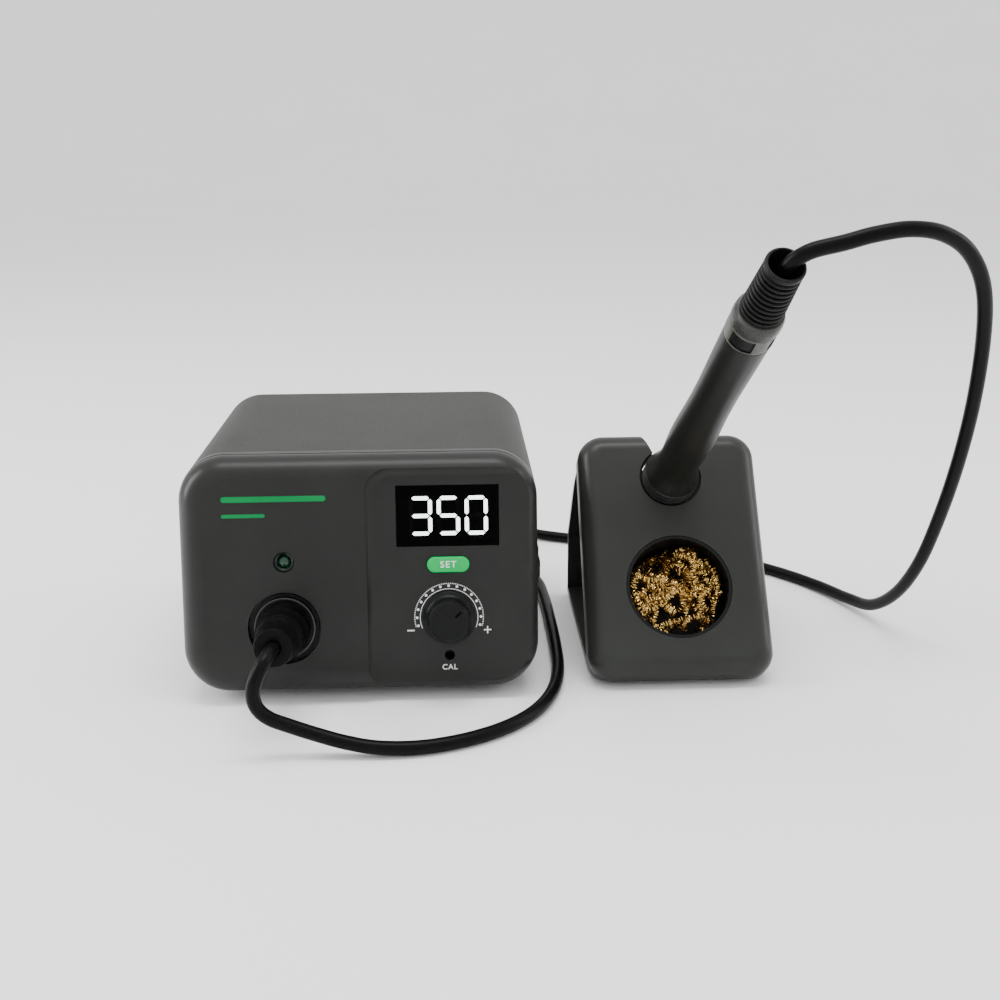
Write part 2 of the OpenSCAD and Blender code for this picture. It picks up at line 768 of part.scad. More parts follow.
// Iron, along its own axis: z = 0 where it rests in the stand, the cord end at z = handle_l
module iron_collar() {
  r = collar_d / 2;
  color("#1b1b1a") on_iron() rotate_extrude() polygon([
    [7.6, -4.2], [r - 0.8, -4.2], [r, -3.4], [r, -2.4], [r - 0.5, -2.2], [r - 0.5, -1.6],
    [r, -1.4], [r, -0.6], [r - 0.5, -0.4], [r - 0.5, 0.2], [r, 0.4], [r, 1.2], [r - 0.5, 1.4],
    [r - 0.5, 2], [r, 2.2], [r, 3], [r - 0.3, 3.6], [7.6, 3.6]]);
}
grip_l = 109;
module iron_grip() {
  color("#1e1f1c") on_iron() rotate_extrude() polygon([
    [7.1, 3.7], [11.3, 3.7], [11, 5], [10, 8], [9.2, 11], [8.7, 15], [8.55, 20], [8.75, 25],
    [9, 32], [9, 38], [8.85, 44], [8.5, 52], [8.2, 62], [8.15, 72], [8.25, 80], [8.45, 90],
    [8.6, 100], [8.7, grip_l], [7.1, grip_l]]);
}
relief_z = 124.1;
stub_l = 12;
core_bore = 5.6;
module iron_core() {
  color("#2a2a28") on_iron() difference() {
    union() {
      rod(7, -4, relief_z - 0.1);
      rod(7.5, -4, 3.6);
    }
    rod(core_bore, -5, relief_z + 1);
  }
}
module iron_ring() {
  color("#3a3b37") on_iron() rotate_extrude() polygon([
    [7.1, grip_l + 0.1], [8.75, grip_l + 0.1], [8.85, 113], [8.85, 117.5], [9, 118], [9, 120.5],
    [8.7, 122.5], [8.2, relief_z - 0.1], [7.1, relief_z - 0.1]]);
}
ribs = 10;
module iron_relief() {
  pitch = 2.25;
  mouth_r = 5.7;
  color("#1d1d1d") on_iron() difference() {
    union() {
      rod(core_bore - 0.05, relief_z - stub_l, relief_z + 1);
      translate([0, 0, relief_z]) cylinder(r1 = 6.8, r2 = 6, h = handle_l - 1 - relief_z);
      for (i = [0 : ribs - 1])
        rod(7.6 - 0.08 * i, relief_z + i * pitch, relief_z + i * pitch + 1.25);
      rod(6.9, handle_l - 2.4, handle_l);
    }
    rod(cord_r + 0.3, 100, handle_l + 1);
    translate([0, 0, handle_l - 11]) rotate_extrude()
      polygon([[0, 0], [cord_r + 0.3, 0], [mouth_r, 9], [mouth_r, 12], [0, 12]]);
  }
}
module barrel_nut() {
  color("#1a1a1a") on_iron() difference() {
    union() {
      rod(7.4, -14, -4.3);
      for (i = [0 : 11]) rotate([0, 0, i * 30]) translate([7.2, 0, 0]) rod(0.7, -13, -5);
    }
    rod(5.3, -15, -4);
  }
}
module barrel() {
  color("#c8c9ca") on_iron() {
    tube(5.2, 4.6, -50, -4.4);
    tube(5.2, 3.3, -50.6, -50);
  }
}
module heater() {
  color("#e9e4da") on_iron() rod(1.9, -60, 12);
}
module iron_tip() {
  color("#9b9ea0") on_iron() difference() {
    union() {
      rod(3.2, -62, -30);
      translate([0, 0, -68]) cylinder(r1 = 0.6, r2 = 3.2, h = 6);
    }
    rod(2, -61, -29);
  }
}

// Cord: its route, from the plug to the coil and from the coil to the iron
cord_r = cord_d / 2;
cord_sides = 10;
ring_gap = 18;
coil_at = [26, 176];
coil_pitch = 5.35;
plug_route = [
  [-29.2, -23.6, 36.1], [-29.3, -28.2, 36.9], [-29.8, -33.2, 37.4], [-31.6, -38.2, 35.4], [-34, -40.8, 30.6],
  [-35.2, -41.2, 25], [-34, -40.8, 19.6], [-30, -40.4, 15.4], [-23.5, -40.2, 12.4],
  [-14.5, -40.4, 9], [-3, -41.2, 5.6], [9, -42, 3.6], [24, -41, 2.9], [40, -36, 2.8],
  [55, -27, 2.8], [67, -14, 2.8], [75, 3, 2.8], [79, 24, 2.8], [80, 50, 2.8], [80, 78, 2.8],
  [79.5, 104, 2.8], [78, 124, 2.8], [73, 138, 2.8], [62, 145.5, 2.8], [46, 147, 2.8],
  [26, 146, 2.8]
];
iron_route = [
  [26, 206, 13.5], [40, 206.5, 12.2], [54, 205.5, 8.8], [68, 202.5, 5.4], [82, 198, 3.4],
  [97, 192, 2.9], [112, 186, 2.8], [127, 180, 2.8], [142, 174, 2.8], [157, 166.5, 2.8],
  [172, 157, 2.8], [187, 145, 2.8], [201, 130, 2.8], [213, 112, 3], [221, 93, 4],
  [226, 74, 8], [229.5, 55, 21], [231, 37, 41], [231, 21, 66], [229.5, 5, 93],
  [226.5, -10, 120], [221.5, -24, 146], [214.5, -36, 165], [205, -44.5, 177.5],
  [194, -50, 184], [182, -53.5, 186], [170, -55, 184.6], [160.3, -55.8, 182.2],
  [152.5, -56.6, 180.6], [148.7, -56.5, 179.4], [145.5, -55.2, 177.3], [143.3, -53.1, 174.8],
  [142.2, -50.4, 172.1]
];
// Points between the hand-placed ones, on a smooth curve through them
function between(a, b, c, d, t) = 0.5 * (2 * b + (c - a) * t + (2 * a - 5 * b + 4 * c - d) * t * t
  + (3 * b - a - 3 * c + d) * t * t * t);
function smooth(p) = let (n = len(p) - 1) [
  for (i = [0 : n - 1]) let (parts = ceil(norm(p[i + 1] - p[i]) / ring_gap))
    for (k = [0 : parts - 1])
      between(p[max(i - 1, 0)], p[i], p[i + 1], p[min(i + 2, n)], k / parts),
  p[n]];
function unit(v) = v / norm(v);
function heading(p, i) = unit(p[min(i + 1, len(p) - 1)] - p[max(i - 1, 0)]);
function side_of(t) = unit(cross(abs(t[2]) > 0.9 ? [1, 0, 0] : [0, 0, 1], t));
function carried(p, i, last) = i >= len(p) ? [] :
  let (t = heading(p, i), s = unit(last - (last * t) * t))
  concat([s], carried(p, i + 1, s));
module swept(p, r, sides) {
  n = len(p);
  across = carried(p, 0, side_of(heading(p, 0)));
  rings = [for (i = [0 : n - 1], k = [0 : sides - 1])
    let (t = heading(p, i), a = 360 * k / sides)
    p[i] + r * (cos(a) * across[i] + sin(a) * cross(t, across[i]))];
  walls = [for (i = [0 : n - 2], k = [0 : sides - 1]) let (j = (k + 1) % sides)
    each [[i * sides + k, (i + 1) * sides + k, (i + 1) * sides + j],
          [i * sides + k, (i + 1) * sides + j, i * sides + j]]];
  polyhedron(rings, concat(walls, [[for (k = [0 : sides - 1]) k]],
    [[for (k = [sides - 1 : -1 : 0]) (n - 1) * sides + k]]));
}
module cord_plug_side() {
  color("#1c1c1c") site() swept(smooth(plug_route), cord_r, cord_sides);
}
// Outer shape of the coil: a ring of stacked turns
module cord_coil() {
  lowest = 0.15;
  color("#1c1c1c") site() translate([coil_at[0], coil_at[1], lowest]) rotate_extrude()
    translate([coil_d / 2 - cord_r, 0]) square([cord_d, (ceil(coil_turns) - 1) * coil_pitch + cord_d]);
}
module cord_iron_side() {
  color("#1c1c1c") site() swept(smooth(iron_route), cord_r, cord_sides);
}

front_bezel();
housing_cover();
base_plate();
rear_panel();
rubber_feet();
case_screws();
display_window();
display_segments();
display_module();
front_pcb();
set_button();
tact_switch();
dial_scale();
knob();
pot_shaft();
pot_body();
pot_nut();
cal_trimmer();
cal_rotor();
indicator_lens();
indicator_led();
front_mark();
switch_frame();
switch_rocker();
socket_housing();
socket_nut();
socket_contacts();
plug_body();
plug_contacts();
mains_inlet();
inlet_pins();
fuse_drawer();
fuse();
earth_socket();
transformer_core();
transformer_winding();
transformer_strap();
main_pcb();
pcb_standoffs();
heatsink();
capacitor();
stand_front_shell();
stand_frame();
wool_cup();
brass_wool();
holder_bush();
stand_feet();
stand_screws();
iron_collar();
iron_grip();
iron_core();
iron_ring();
iron_relief();
barrel_nut();
barrel();
heater();
iron_tip();
cord_plug_side();
cord_coil();
cord_iron_side();
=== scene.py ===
"""Looks of a soldering station: a control unit, an iron on its cord and the iron's sloped stand.

Metres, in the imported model's frame. Places are given the way the CAD source gives them:
site(x, y, z) in millimetres from the middle of the control unit's front bottom edge, and three
tilted frames on the front panel, on the stand's plate and along the iron."""
import json
import math
import random

import bmesh
import bpy
from mathutils import Matrix, Vector


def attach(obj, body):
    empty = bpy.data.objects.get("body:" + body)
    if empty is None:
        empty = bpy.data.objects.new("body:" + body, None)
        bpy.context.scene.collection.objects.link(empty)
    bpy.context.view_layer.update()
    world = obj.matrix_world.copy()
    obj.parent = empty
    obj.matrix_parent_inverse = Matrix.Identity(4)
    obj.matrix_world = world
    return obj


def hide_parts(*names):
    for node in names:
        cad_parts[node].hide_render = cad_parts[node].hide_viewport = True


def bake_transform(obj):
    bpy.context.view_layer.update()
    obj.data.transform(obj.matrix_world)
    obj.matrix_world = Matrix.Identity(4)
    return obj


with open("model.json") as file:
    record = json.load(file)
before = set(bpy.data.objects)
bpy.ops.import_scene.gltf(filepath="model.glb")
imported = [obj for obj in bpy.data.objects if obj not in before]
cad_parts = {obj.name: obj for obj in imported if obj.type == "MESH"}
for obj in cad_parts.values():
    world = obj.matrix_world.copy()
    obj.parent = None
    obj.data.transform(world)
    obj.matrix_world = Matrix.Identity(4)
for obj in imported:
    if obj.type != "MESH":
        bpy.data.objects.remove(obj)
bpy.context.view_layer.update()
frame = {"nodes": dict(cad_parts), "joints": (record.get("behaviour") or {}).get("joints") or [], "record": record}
nodes = frame["nodes"]
joints = {joint["name"]: joint for joint in frame["joints"]}

MM = 0.001
ORIGIN = Vector((47.975, 40.902, 0))


# ---------------------------------------------------------------- places

def site(x, y, z):
    """A point given in millimetres from the middle of the control unit's front bottom edge."""
    return (Vector((x, y, z)) - ORIGIN) * MM


def tilted(origin, normal):
    """Frame in millimetres at origin whose z runs along normal and whose y leans upwards."""
    z = Vector(normal).normalized()
    x = Vector((0, 0, 1)).cross(z).normalized()
    y = z.cross(x)
    turned = Matrix((x, y, z)).transposed().to_4x4()
    return Matrix.Translation(origin) @ turned @ Matrix.Scale(MM, 4)


FACE_NORMAL = joints["knob_turn"]["axis"]
PLATE_LEAN = math.radians(37)
COLUMN_X, DIAL_Y, BUTTON_Y, WINDOW_Y = 34.6, 31.1, 52, 71.2
SOCKET_X, SOCKET_Y = -29.2, 28.5
LAMP_X, LAMP_Y = -28.8, 54.4
ZONE = -2.5  # height of the sunk control area over the front panel
FACE = tilted(site(0, 0, 3), FACE_NORMAL)
PLATE = tilted(site(128.2, 0, 2), (0, -math.cos(PLATE_LEAN), math.sin(PLATE_LEAN)))
IRON = tilted(PLATE @ Vector((0.3, 91.7, 0)), joints["iron_lift_out"]["axis"])


def at(base, x, y, z=0):
    """The frame base, moved by x, y and z millimetres in its own directions."""
    return base @ Matrix.Translation((x, y, z))


# ---------------------------------------------------------------- camera

CAMERA_AT = (35.9, -447.6, 219.25)
CAMERA_YAW, CAMERA_PITCH, CAMERA_ROLL = -2.37, 16.9, -0.28


def make_camera():
    camera = bpy.data.objects.new("camera", bpy.data.cameras.new("camera"))
    bpy.context.scene.collection.objects.link(camera)
    camera.data.lens = 45
    camera.data.sensor_width = 36
    turn = (Matrix.Rotation(math.radians(CAMERA_YAW), 4, "Z")
            @ Matrix.Rotation(math.radians(90 - CAMERA_PITCH), 4, "X")
            @ Matrix.Rotation(math.radians(CAMERA_ROLL), 4, "Z"))
    camera.matrix_world = Matrix.Translation(site(*CAMERA_AT)) @ turn
    bpy.context.scene.camera = camera


make_camera()


# ---------------------------------------------------------------- mesh helpers

def add_object(name, mesh, materials=(), smooth_angle=38):
    piece = bpy.data.objects.new(name, mesh)
    bpy.context.scene.collection.objects.link(piece)
    for material in materials:
        mesh.materials.append(material)
    if smooth_angle:
        mesh.shade_smooth()
        mesh.set_sharp_from_angle(angle=math.radians(smooth_angle))
    return piece


def mesh_from(name, vertices, faces, place=Matrix.Identity(4)):
    mesh = bpy.data.meshes.new(name)
    mesh.from_pydata([place @ Vector(v) for v in vertices], [], faces)
    tidy = bmesh.new()
    tidy.from_mesh(mesh)
    bmesh.ops.remove_doubles(tidy, verts=tidy.verts, dist=1e-7)
    bmesh.ops.recalc_face_normals(tidy, faces=tidy.faces)
    tidy.to_mesh(mesh)
    tidy.free()
    return mesh


def rounded(points, radius, steps=4):
    """An open outline with its corners rounded."""
    points = [Vector(p) for p in points]
    out = [points[0]]
    for before, corner, after in zip(points, points[1:], points[2:]):
        back, onward = before - corner, after - corner
        if back.length < 1e-6 or onward.length < 1e-6 or back.angle(onward) > 3.05:
            out.append(corner)
            continue
        cut = min(radius / math.tan(back.angle(onward) / 2), 0.45 * back.length,
                  0.45 * onward.length)
        start, end = corner + back.normalized() * cut, corner + onward.normalized() * cut
        for i in range(steps + 1):
            t = i / steps
            out.append(start.lerp(corner, t).lerp(corner.lerp(end, t), t))
    out.append(points[-1])
    return [tuple(p) for p in out]


def flowing(points, step):
    """Points along a smooth curve through the given ones, about step apart."""
    points = [Vector(p) for p in points]
    out = []
    for i in range(len(points) - 1):
        a, b = points[max(i - 1, 0)], points[i]
        c, d = points[i + 1], points[min(i + 2, len(points) - 1)]
        parts = max(1, round((c - b).length / step))
        for k in range(parts):
            t = k / parts
            out.append(0.5 * (2 * b + (c - a) * t + (2 * a - 5 * b + 4 * c - d) * t * t
                              + (3 * b - a - 3 * c + d) * t ** 3))
    return out + [points[-1]]


def lathe(name, profile, place, sides=96, shape=None):
    """A surface turned round the z axis of place. profile is (radius, z) in millimetres, and
    shape can move each point: it gets the radius, the angle and z, and returns a radius."""
    vertices, faces = [], []
    for radius, z in profile:
        for k in range(sides):
            angle = 2 * math.pi * k / sides
            r = shape(radius, angle, z) if shape else radius
            vertices.append((r * math.cos(angle), r * math.sin(angle), z))
    for i in range(len(profile) - 1):
        for k in range(sides):
            j = (k + 1) % sides
            faces.append((i * sides + k, i * sides + j, (i + 1) * sides + j, (i + 1) * sides + k))
    return mesh_from(name, vertices, faces, place)


def sweep(name, path, outline):
    """The closed outline, in metres, carried along path without twisting, with closed ends."""
    path = [Vector(p) for p in path]
    headings = [(path[min(i + 1, len(path) - 1)] - path[max(i - 1, 0)]).normalized()
                for i in range(len(path))]
    across = headings[0].orthogonal().normalized()
    vertices, faces, n = [], [], len(outline)
    for i, (point, heading) in enumerate(zip(path, headings)):
        across = (across - across.dot(heading) * heading).normalized()
        side, other = across, heading.cross(across)
        for u, v in outline:
            vertices.append(point + side * u + other * v)
        if i:
            for k in range(n):
                j = (k + 1) % n
                faces.append(((i - 1) * n + k, (i - 1) * n + j, i * n + j, i * n + k))
    faces.append(tuple(range(n)))
    faces.append(tuple((len(path) - 1) * n + k for k in reversed(range(n))))
    return mesh_from(name, vertices, faces)


def disc_outline(radius, sides):
    return [(radius * math.cos(2 * math.pi * k / sides), radius * math.sin(2 * math.pi * k / sides))
            for k in range(sides)]


def label(name, text, height, spacing, weight, place, material, body):
    """A short generic marking, cut as thin raised print."""
    letters = bpy.data.curves.new(name, "FONT")
    letters.body = text
    letters.size = height
    letters.align_x = "CENTER"
    letters.align_y = "CENTER"
    letters.extrude = 0.04
    letters.offset = weight
    letters.space_character = spacing
    letters.resolution_u = 5
    source = bpy.data.objects.new(name + "_source", letters)
    bpy.context.scene.collection.objects.link(source)
    bpy.context.view_layer.update()
    graph = bpy.context.evaluated_depsgraph_get()
    mesh = bpy.data.meshes.new_from_object(source.evaluated_get(graph))
    bpy.data.objects.remove(source)
    mesh.transform(place)
    mesh.materials.clear()
    piece = add_object(name, mesh, [material], smooth_angle=None)
    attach(piece, body)
    return piece


# ---------------------------------------------------------------- materials

def link(tree, source, target):
    tree.links.new(source, target)


def noise(tree, coordinates, size, detail=2.0, stretch=(1, 1, 1)):
    """Noise whose features are about size metres across."""
    mapping = tree.nodes.new("ShaderNodeMapping")
    mapping.inputs["Scale"].default_value = stretch
    link(tree, coordinates, mapping.inputs["Vector"])
    node = tree.nodes.new("ShaderNodeTexNoise")
    node.inputs["Scale"].default_value = 1 / size
    node.inputs["Detail"].default_value = detail
    link(tree, mapping.outputs["Vector"], node.inputs["Vector"])
    return node.outputs["Fac"]


def spread(tree, value, low, high):
    """value, from about 0.3 to 0.7, spread over low to high."""
    node = tree.nodes.new("ShaderNodeMapRange")
    node.inputs["From Min"].default_value = 0.3
    node.inputs["From Max"].default_value = 0.7
    node.inputs["To Min"].default_value = low
    node.inputs["To Max"].default_value = high
    link(tree, value, node.inputs["Value"])
    return node.outputs["Result"]


def blend_colours(tree, factor, first, second):
    node = tree.nodes.new("ShaderNodeMix")
    node.data_type = "RGBA"
    node.inputs[6].default_value = (*first, 1)
    node.inputs[7].default_value = (*second, 1)
    link(tree, factor, node.inputs[0])
    return node.outputs[2]


def surface(name, colour, rough, vary=0.12, rough_vary=0.06, grain=0.0005, depth=0.00002,
            cloud=0.02, stretch=(1, 1, 1), second=None, metal=0.0, **shader_values):
    """A finish with its own grain, patches of colour and uneven gloss. grain and cloud are the
    sizes in metres of its finest texture and of its patches, and depth is that texture's depth."""
    material = bpy.data.materials.new(name)
    material.use_nodes = True
    tree = material.node_tree
    shader = tree.nodes["Principled BSDF"]
    coordinates = tree.nodes.new("ShaderNodeTexCoord").outputs["Object"]
    fine = noise(tree, coordinates, grain, 2.0, stretch)
    broad = noise(tree, coordinates, cloud, 3.0)
    darker = tuple(c * (1 - vary) for c in colour)
    lighter = second or tuple(min(1, c * (1 + vary)) for c in colour)
    mixed = spread(tree, broad, 0, 1)
    link(tree, blend_colours(tree, mixed, darker, lighter), shader.inputs["Base Color"])
    link(tree, spread(tree, fine, rough - rough_vary, rough + rough_vary),
         shader.inputs["Roughness"])
    bump = tree.nodes.new("ShaderNodeBump")
    bump.inputs["Strength"].default_value = 0.6
    bump.inputs["Distance"].default_value = depth
    link(tree, fine, bump.inputs["Height"])
    link(tree, bump.outputs["Normal"], shader.inputs["Normal"])
    shader.inputs["Metallic"].default_value = metal
    for socket, value in shader_values.items():
        shader.inputs[socket.replace("_", " ")].default_value = value
    return material


FINISHES = {
    "housing_plastic": dict(colour=(0.0138, 0.0146, 0.0132), rough=0.34, grain=0.00035,
                            depth=0.00003, Specular_IOR_Level=0.2),
    "cover_paint": dict(colour=(0.0245, 0.0256, 0.0224), rough=0.5, grain=0.0006, depth=0.00004,
                        cloud=0.05, Specular_IOR_Level=0.15),
    "black_plastic": dict(colour=(0.004, 0.004, 0.004), rough=0.38, grain=0.0004, depth=0.00002,
                          Specular_IOR_Level=0.15),
    "window": dict(colour=(0.0006, 0.0006, 0.0008), rough=0.2, rough_vary=0.02, grain=0.002,
                   depth=0.000002, Specular_IOR_Level=0.02),
    "white_plastic": dict(colour=(0.72, 0.71, 0.66), rough=0.45),
    "circuit_board": dict(colour=(0.015, 0.09, 0.035), rough=0.32, grain=0.0008, depth=0.00003,
                          second=(0.04, 0.16, 0.07), cloud=0.003),
    "green_plastic": dict(colour=(0.0, 0.44, 0.1), rough=0.42, grain=0.0003, depth=0.000008,
                          vary=0.05, Specular_IOR_Level=0.05),
    "print_white": dict(colour=(0.80, 0.82, 0.81), rough=0.55, vary=0.06, grain=0.0002,
                        depth=0.00001),
    "print_green": dict(colour=(0.002, 0.2, 0.055), rough=0.5, vary=0.08, grain=0.0002,
                        depth=0.00001, Specular_IOR_Level=0.05),
    "knob_plastic": dict(colour=(0.0036, 0.004, 0.004), rough=0.32, grain=0.0003, depth=0.00002,
                         Specular_IOR_Level=0.14),
    "steel": dict(colour=(0.55, 0.55, 0.54), rough=0.34, metal=1.0, grain=0.0006, depth=0.00001,
                  stretch=(1, 6, 1)),
    "plated_metal": dict(colour=(0.68, 0.68, 0.66), rough=0.2, metal=1.0, grain=0.0008,
                         depth=0.000006),
    "brass_contact": dict(colour=(0.72, 0.5, 0.18), rough=0.28, metal=1.0, grain=0.0006,
                          depth=0.000006),
    "green_lens": dict(colour=(0.001, 0.006, 0.003), rough=0.16, grain=0.001, depth=0.000004,
                       Specular_IOR_Level=0.3),
    "rubber": dict(colour=(0.0046, 0.0047, 0.0044), rough=0.46, grain=0.0004, depth=0.00003,
                   Specular_IOR_Level=0.16),
    "cord_rubber": dict(colour=(0.0022, 0.0023, 0.0022), rough=0.34, grain=0.0004, depth=0.00002,
                        cloud=0.03, Specular_IOR_Level=0.08),
    "copper_winding": dict(colour=(0.36, 0.13, 0.035), rough=0.4, grain=0.0007, depth=0.00008,
                           stretch=(1, 1, 8)),
    "core_steel": dict(colour=(0.09, 0.09, 0.1), rough=0.48, metal=0.7, grain=0.0007,
                       depth=0.00008, stretch=(0.2, 8, 0.2)),
    "aluminium": dict(colour=(0.58, 0.59, 0.6), rough=0.36, metal=1.0, stretch=(1, 1, 12),
                      grain=0.001, depth=0.00001),
    "capacitor_sleeve": dict(colour=(0.015, 0.035, 0.13), rough=0.3, grain=0.001, depth=0.00001),
    "glass": dict(colour=(0.7, 0.75, 0.75), rough=0.08, rough_vary=0.02, grain=0.002,
                  depth=0.000002),
    "stand_plastic": dict(colour=(0.0196, 0.021, 0.0187), rough=0.34, grain=0.0004,
                          depth=0.00003, cloud=0.04, Specular_IOR_Level=0.2),
    # Brass shavings: the blend from dark brown to pale gold in 1.3 mm patches is painted glints and painted shade
    # along the strips, laid over the brass colour.
    "brass_turnings": dict(colour=(0.30, 0.11, 0.01), rough=0.16, metal=1.0, vary=0.5,
                           second=(1.0, 0.70, 0.23), cloud=0.0013, grain=0.0008, depth=0.00002),
    "grip_rubber": dict(colour=(0.0058, 0.0063, 0.0054), rough=0.38, grain=0.0003,
                        depth=0.000012, cloud=0.03, Specular_IOR_Level=0.3),
    "barrel_steel": dict(colour=(0.5, 0.49, 0.47), second=(0.55, 0.42, 0.3), rough=0.32,
                         metal=1.0, cloud=0.02, grain=0.0008, depth=0.00001),
    "ceramic": dict(colour=(0.78, 0.74, 0.66), rough=0.6),
    "tip_plating": dict(colour=(0.3, 0.3, 0.31), rough=0.3, metal=1.0, second=(0.42, 0.4, 0.38),
                        cloud=0.004),
}


def glowing(name, colour, strength):
    """A lit surface: uniform light behind a slightly uneven diffuser."""
    material = surface(name, (0.8, 0.8, 0.8), 0.4, grain=0.0008, depth=0.000004)
    shader = material.node_tree.nodes["Principled BSDF"]
    shader.inputs["Emission Color"].default_value = (*colour, 1)
    shader.inputs["Emission Strength"].default_value = strength
    return material


materials = {slot: surface(slot, **finish) for slot, finish in FINISHES.items()}
materials["lit_segments"] = glowing("lit_segments", (0.93, 0.97, 1.0), 3.2)
for part in frame["record"]["subparts"]:
    mesh = nodes[part["node"]].data
    mesh.materials.clear()
    # The trimmer and its rotor inside the CAL hole get black plastic as painted shade in place of their own
    # finish.
    painted_shade_in_cal_hole = part["node"] in ("cal_trimmer", "cal_rotor")
    mesh.materials.append(materials["black_plastic" if painted_shade_in_cal_hole else part["material_slot"]])


def dress(piece, body, slot, *replaced):
    """Ties a finished piece to its body and hides the CAD nodes that it stands for. slot is not used."""
    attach(piece, body)
    if replaced:
        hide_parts(*replaced)
    return piece


# ---------------------------------------------------------------- cord

CORD_R = 2.65
COIL_AT, COIL_R, COIL_TURNS, COIL_PITCH = (26, 176), 30, 2.5, 5.35
PLUG_ROUTE = [
    (-29.2, -23.6, 36.1), (-29.3, -28.2, 36.9), (-29.8, -33.2, 37.4), (-31.6, -38.2, 35.4),
    (-34, -40.8, 30.6), (-35.2, -41.2, 25), (-34, -40.8, 19.6), (-30, -40.4, 15.4),
    (-23.5, -40.2, 12.4), (-14.5, -40.4, 9), (-3, -41.2, 5.6), (9, -42, 3.6), (24, -41, 2.9),
    (40, -36, 2.8), (55, -27, 2.8), (67, -14, 2.8), (75, 3, 2.8), (79, 24, 2.8), (80, 50, 2.8),
    (80, 78, 2.8), (79.5, 104, 2.8), (78, 124, 2.8), (73, 138, 2.8), (62, 145.5, 2.8),
    (46, 147, 2.8), (26, 146, 2.8)]
IRON_ROUTE = [
    (26, 206, 13.5), (40, 206.5, 12.2), (54, 205.5, 8.8), (68, 202.5, 5.4), (82, 198, 3.4),
    (97, 192, 2.9), (112, 186, 2.8), (127, 180, 2.8), (142, 174, 2.8), (157, 166.5, 2.8),
    (172, 157, 2.8), (187, 145, 2.8), (201, 130, 2.8), (213, 112, 3), (221, 93, 4),
    (226, 74, 8), (229.5, 55, 21), (230.98, 37, 41), (230.98, 21, 66), (229.5, 5, 93),
    (226.5, -10, 120), (221.5, -24, 146), (214.5, -36, 165), (205, -44.5, 177.5),
    (194, -50, 184), (182, -53.5, 186), (170, -55, 184.6), (160.3, -55.8, 182.2),
    (152.5, -56.42, 180.6), (148.7, -56.5, 179.4), (145.5, -55.2, 177.3), (143.3, -53.1, 174.8),
    (142.2, -50.4, 172.1)]


def coil_points():
    """Turns lying on each other: each is flat, and steps up a layer near its end."""
    points = []
    steps = 36
    for i in range(1, round(COIL_TURNS * steps) + 1):
        turns = i / steps
        rise = min(max((turns % 1 - 0.8) / 0.18, 0), 1)
        layer = math.floor(turns) + rise * rise * (3 - 2 * rise)
        angle = -math.pi / 2 - 2 * math.pi * turns
        points.append((COIL_AT[0] + COIL_R * math.cos(angle), COIL_AT[1] + COIL_R * math.sin(angle),
                       2.8 + layer * COIL_PITCH))
    return points


def make_cord(name, route, body, start, end, exit_point, length, lay, *replaced):
    path = [site(*p) for p in flowing(route, 2)]
    mesh = sweep(name, path, disc_outline(CORD_R * MM, 20))
    piece = add_object(name, mesh, [materials["cord_rubber"]])
    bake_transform(piece)
    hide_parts(*replaced)
    return piece


make_cord("cord_to_plug", PLUG_ROUTE + coil_points(), "plug", (-29, -33, 34), (-29, -33, 5),
          PLUG_ROUTE[0], 0.82, "coiled", "cord_plug_side", "cord_coil")
make_cord("cord_to_iron", list(reversed(IRON_ROUTE)), "iron", (142, -50, 165), (142, -50, 20),
          IRON_ROUTE[-1], 0.55, "loose", "cord_iron_side")


# ---------------------------------------------------------------- control unit

def make_knob():
    """Skirted knob: a concave neck between the skirt and the cap, a fine ridge round the top and a
    short pointer notch, drawn as a thin black patch on the cap: painted shade in place of a cut."""
    top, skirt_r, cap_r = 9, 10.5, 7.8
    bore_r, bore_end, hollow_r, hollow_end = 3.05, ZONE + 9, 7, ZONE + 3.4
    hollow = [(0, bore_end), (bore_r, bore_end), (bore_r, hollow_end), (hollow_r, hollow_end),
              (hollow_r, ZONE + 0.5)]
    skirt = [(skirt_r, ZONE + 0.5), (skirt_r, ZONE + 1.6)]
    neck = [(skirt_r - 1.2, ZONE + 2.3), (skirt_r - 1.9, ZONE + 2.9), (cap_r + 0.15, ZONE + 4.2)]
    cap = [(cap_r, ZONE + 7), (cap_r - 0.1, top), (cap_r - 0.8, top), (cap_r - 1.05, top - 0.25),
           (0, top - 0.12)]
    outline = hollow + skirt + neck + cap
    profile = rounded(outline, 0.45, 5)

    def ribs(radius, angle, z):
        side = ZONE + 4.4 < z < top - 0.7 and radius > cap_r - 0.3
        return radius - (0.07 * (1 + math.cos(40 * angle)) if side else 0)

    place = at(FACE, COLUMN_X, DIAL_Y)
    mesh = lathe("knob_turned", profile, place, 240, ribs)
    piece = add_object("knob_turned", mesh, [materials["knob_plastic"]])
    dress(piece, "knob", "knob_plastic", "knob")
    # The pointer notch is a thin black patch laid on the cap, not cut in: painted shade of a notch.
    pointer = place @ Matrix.Rotation(math.radians(-48), 4, "Z")
    half, inner, outer, z0, z1 = 0.4, 3.3, 6.2, top - 0.3, top - 0.02
    rim = rounded([(-half, inner), (half, inner), (half, outer), (-half, outer), (-half, inner)],
                  0.15, 3)
    low = [(x, y, z0) for x, y in rim]
    high = [(x, y, z1) for x, y in rim]
    n = len(rim)
    faces = [tuple(range(n, 2 * n))] + [(k, (k + 1) % n, n + (k + 1) % n, n + k) for k in range(n)]
    mark = add_object("knob_notch_painted_shade", mesh_from("knob_notch_painted_shade", low + high, faces, pointer),
                      [materials["window"]])
    dress(mark, "knob", "window")


def stadium_outline(width, height):
    points, steps = [], 14
    for side in (1, -1):
        for i in range(steps + 1):
            angle = math.pi * (i / steps - 0.5) + (0 if side > 0 else math.pi)
            points.append((side * (width - height) / 2 + height / 2 * math.cos(angle),
                           height / 2 * math.sin(angle)))
    return points


